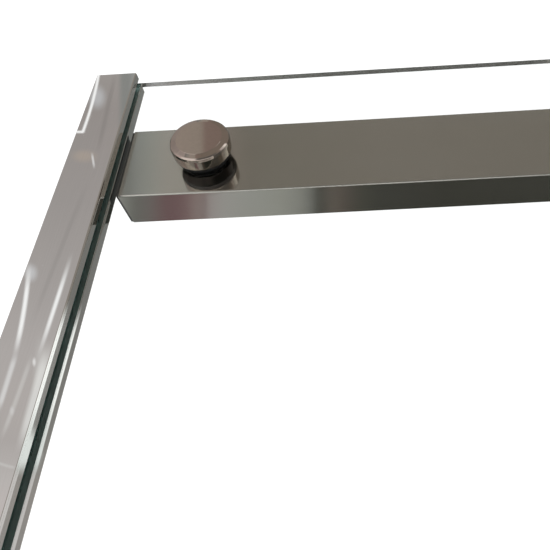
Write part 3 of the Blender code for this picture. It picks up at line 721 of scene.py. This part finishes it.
def streak(col, p, a, b, half, light, power=1.0, bow=0.0, fade=0.3):
    """A slim curved lamp or batten, brightest along its middle and fading towards its ends."""
    d = Vector((b[0] - a[0], b[1] - a[1]))
    n = Vector((d.y, -d.x)).normalized()
    k = 1.0 / d.length_squared
    q = vmath("SUBTRACT", p, (a[0], a[1], 0.0))
    w_ = vmath("DOT_PRODUCT", q, (d.x * k, d.y * k, 0.0), out=1)
    r = vmath("DOT_PRODUCT", q, (n.x, n.y, 0.0), out=1)
    if bow:
        sag = t.math("MULTIPLY", t.math("MULTIPLY", w_, t.math("SUBTRACT", 1.0, w_)), 4.0 * bow)
        r = t.math("SUBTRACT", r, sag)
    f = t.step(t.math("ABSOLUTE", r), half * 0.12, half, power, 0.0)
    f = t.math("MULTIPLY", f, t.band(w_, 0.0, fade, 1.0 - fade, 1.0))
    return t.mix(f, col, light)


def spot(col, p, c, rx, ry, light, power=1.0):
    q = vmath("MULTIPLY", vmath("SUBTRACT", p, (c[0], c[1], 0.0)), (1.0 / rx, 1.0 / ry, 0.0))
    f = t.step(vmath("LENGTH", q, out=1), 0.15, 1.0, power, 0.0)
    return t.mix(f, col, light)


# behind the camera: what the broad polished faces see
u, v, p, ok = plate(1, -1, 1)
wall = ramp(v, [(60, (0.400, 0.380, 0.366)), (110, (0.365, 0.340, 0.328)), (200, (0.398, 0.376, 0.366)), (250, (0.432, 0.408, 0.398)),
                (300, (0.468, 0.443, 0.434)), (350, (0.512, 0.486, 0.478)), (400, (0.520, 0.492, 0.482)), (440, (0.512, 0.484, 0.474)),
                (480, (0.592, 0.566, 0.556)), (510, (0.640, 0.592, 0.585)), (560, (0.660, 0.590, 0.580))])
WHITE, PALE, GREY = (1.10, 1.12, 1.13), (0.85, 0.86, 0.87), (0.66, 0.65, 0.64)
wall = spot(wall, p, (97, 97), 12, 16, (0.58, 0.59, 0.61), 0.9)
wall = spot(wall, p, (84, 156), 17, 9, (0.47, 0.41, 0.36), 0.8)
wall = spot(wall, p, (31, 273), 9, 12, (0.66, 0.67, 0.69), 0.9)
wall = spot(wall, p, (40, 385), 9, 60, (0.70, 0.70, 0.69), 0.55)
wall = streak(wall, p, (117, 66), (96, 160), 3.6, (0.26, 0.245, 0.235), 0.42, 0.0)
wall = streak(wall, p, (93, 170), (30, 330), 3.6, (0.30, 0.285, 0.275), 0.30, -1.0)
wall = streak(wall, p, (100.5, 62), (82.3, 133.5), 2.3, WHITE, 1.0, 2.2, 0.03)
wall = streak(wall, p, (83.6, 131.9), (66, 131.9), 2.0, WHITE, 1.0, 0.0, 0.03)
wall = streak(wall, p, (91.5, 151), (94.6, 170), 1.8, PALE, 0.8, 0.0, 0.4)
wall = streak(wall, p, (29.5, 258), (13.0, 362), 3.7, WHITE, 1.0, 2.7, 0.36)
wall = streak(wall, p, (73, 250), (36.5, 362), 3.4, WHITE, 0.95, 0.4, 0.42)
wall = spot(wall, p, (34.2, 362), 2.6, 6.0, WHITE, 0.6)
wall = streak(wall, p, (51, 338), (19, 456), 7.5, (0.86, 0.87, 0.86), 0.85, 0.0, 0.3)
wall = streak(wall, p, (17, 350), (-3, 414), 4.0, PALE, 0.8, 0.0, 0.25)
wall = streak(wall, p, (33, 352), (0, 442), 3.6, GREY, 0.8, 0.8, 0.25)
wall = spot(wall, p, (12, 411), 3.4, 6.5, PALE, 0.4)
wall = streak(wall, p, (-6, 461), (17, 468), 2.4, GREY, 0.9, -0.8, 0.2)
# lamps that only the glass in the channel's mouth catches
wall = spot(wall, p, (63.5, 352), 5.0, 8.0, (3.4, 3.7, 3.2), 1.0)
wall = spot(wall, p, (37, 450), 7.5, 18.0, (1.5, 1.75, 1.8), 1.0)
room_dim = (0.13, 0.145, 0.135)
near = ramp(u, [(128, (0.28, 0.29, 0.28)), (136, (0.36, 0.37, 0.36)), (145, (0.385, 0.395, 0.375)), (155, (0.42, 0.42, 0.395)), (165, (0.455, 0.43, 0.40)), (200, (0.415, 0.40, 0.365)), (206, (0.315, 0.265, 0.245)),
                (228, (0.290, 0.250, 0.225)), (240, (0.272, 0.245, 0.213)), (250, (0.250, 0.226, 0.198)), (265, (0.257, 0.236, 0.205)), (380, (0.276, 0.251, 0.222)), (550, (0.266, 0.243, 0.215))])
room_a = t.mix(t.step(u, 116, 124), wall, near)
room_a = strip(room_a, p, (129, 128), (109, 200), 9.0, room_dim, 0.9)
room_a = strip(room_a, p, (109, 200), (100, 232), 7.0, room_dim, 0.8)
room_a = t.mix(ok, (0.34, 0.335, 0.32), room_a)

# in front of the camera and below the horizon: what undersides and the glass's top edge see
u, v, p, ok = plate(1, 1, -1)
below = ramp(u, [(120, (0.36, 0.37, 0.355)), (135, (0.145, 0.150, 0.133)), (150, (0.175, 0.151, 0.148)), (158, (0.165, 0.102, 0.105)), (165, (0.150, 0.068, 0.080)),
                 (185, (0.185, 0.092, 0.104)), (190, (0.250, 0.160, 0.163)), (195, (0.320, 0.245, 0.240)), (205, (0.255, 0.190, 0.195)), (209, (0.463, 0.430, 0.438)),
                 (225, (0.471, 0.481, 0.476)), (260, (0.427, 0.446, 0.427)), (280, (0.412, 0.430, 0.404)), (300, (0.334, 0.350, 0.331)), (310, (0.235, 0.248, 0.236)),
                 (318, (0.045, 0.052, 0.044)), (334, (0.148, 0.128, 0.112)), (345, (0.098, 0.082, 0.072)), (360, (0.050, 0.056, 0.044)), (380, (0.032, 0.037, 0.031)),
                 (440, (0.021, 0.025, 0.018)), (560, (0.021, 0.026, 0.019))])
high = ramp(u, [(130, (0.05, 0.053, 0.052)), (147, (0.06, 0.063, 0.062)), (150, (0.30, 0.30, 0.295)), (175, (0.25, 0.25, 0.24)), (200, (0.17, 0.172, 0.16)), (230, (0.095, 0.097, 0.088)), (255, (0.060, 0.062, 0.054)),
                (300, (0.025, 0.026, 0.021)), (560, (0.012, 0.013, 0.010))])
room_b = t.mix(t.step(v, 125, 145), high, below)
room_b = t.mix(t.math("MAXIMUM", t.step(v, 252, 300), t.step(u, 600, 680)), room_b, (0.30, 0.295, 0.285))
room_b = t.mix(ok, (0.16, 0.16, 0.155), room_b)

# in front of the camera and above the horizon: what the side faces see
room_c = ramp(gz, [(0.0, (0.30, 0.29, 0.28)), (0.12, (0.33, 0.31, 0.29)), (0.22, (0.24, 0.235, 0.22)), (0.40, (0.205, 0.20, 0.19)), (0.60, (0.195, 0.20, 0.19)), (1.0, (0.19, 0.195, 0.185))])
front = t.mix(t.step(gz, -0.06, 0.0), room_b, room_c)
studio = t.mix(t.step(gy, -0.05, 0.05), room_a, front)
tray = t.math("MULTIPLY", t.step(gz, -0.30, -0.15, 1.0, 0.0), t.step(gy, 0.15, 0.30, 1.0, 0.0))
deep = t.math("MAXIMUM", t.step(gz, -0.80, -0.70, 1.0, 0.0), t.step(gx, -0.38, -0.15, 1.0, 0.0))
studio = t.mix(tray, studio, t.mix(deep, (0.17, 0.172, 0.165), (1.02, 1.02, 1.0)))

# a tall window standing to the right of the object
az = t.math("ARCTAN2", gy, gx)
edge = t.lin(gz, 0.185, 0.262, 0.995, 0.88)
near_side = t.step(az, -1.06, -1.00)
sill = t.math("MULTIPLY", near_side, t.step(az, 0.92, 0.94, 1.0, 0.0))
open_ = t.math("MULTIPLY", near_side, t.step(t.math("SUBTRACT", az, edge), -0.02, 0.035, 1.0, 0.0))
studio = t.mix(t.math("MULTIPLY", sill, t.band(gz, -0.05, 0.02, 0.145, 0.175)), studio, (0.66, 0.64, 0.63))
pane_light = ramp(gz, [(0.14, (0.80, 0.85, 0.83)), (0.225, (0.92, 0.96, 0.94)), (0.27, (1.16, 1.19, 1.17)), (1.0, (1.16, 1.19, 1.17))])
studio = t.mix(t.math("MULTIPLY", open_, t.band(gz, 0.145, 0.175, 0.375, 0.44)), studio, pane_light)

lp = t.node("ShaderNodeLightPath")
bounced = t.math("ADD", lp.outputs["Glossy Depth"], lp.outputs["Diffuse Depth"])
plain = t.math("LESS_THAN", bounced, 0.5)
bg = t.node("ShaderNodeBackground")
t.put(bg.inputs["Color"], t.mix(plain, studio, (1.18, 1.18, 1.18)))
bg.inputs["Strength"].default_value = 1.0
wo = t.node("ShaderNodeOutputWorld")
world.node_tree.links.new(bg.outputs[0], wo.inputs["Surface"])


def area(name, loc, aim, size, power, color=(1, 1, 1)):
    ld = bpy.data.lights.new(name, "AREA")
    ld.shape = "RECTANGLE"
    ld.size, ld.size_y = size
    ld.energy = power
    ld.color = color
    ob = bpy.data.objects.new(name, ld)
    bpy.context.scene.collection.objects.link(ob)
    ob.location = loc
    ob.rotation_mode = "QUATERNION"
    ob.rotation_quaternion = (Vector(aim) - Vector(loc)).to_track_quat("-Z", "Y")
    ob.visible_camera = False
    ob.visible_transmission = False
    ob.visible_glossy = False
    return ob


area("softbox_top", (0.75, 0.0, 3.6), (0.75, 0.0, 0.0), (2.4, 2.4), 190.0)

# ---------------------------------------------------------------- camera
cd = bpy.data.cameras.new("camera")
cam = bpy.data.objects.new("camera", cd)
bpy.context.scene.collection.objects.link(cam)
rot = Matrix((RIGHT, -DOWN, -FWD)).transposed().to_4x4()
cam.matrix_world = Matrix.Translation(EYE) @ rot
cd.sensor_width = 36.0
cd.lens = 36.0 * F / 550.0
cd.shift_x = (275.0 - CX) / 550.0
cd.shift_y = (CY - 275.0) / 550.0
cd.clip_start, cd.clip_end = 0.01, 50.0
cd.dof.use_dof = False
bpy.context.scene.camera = cam
bpy.context.scene.view_settings.view_transform = "Standard"
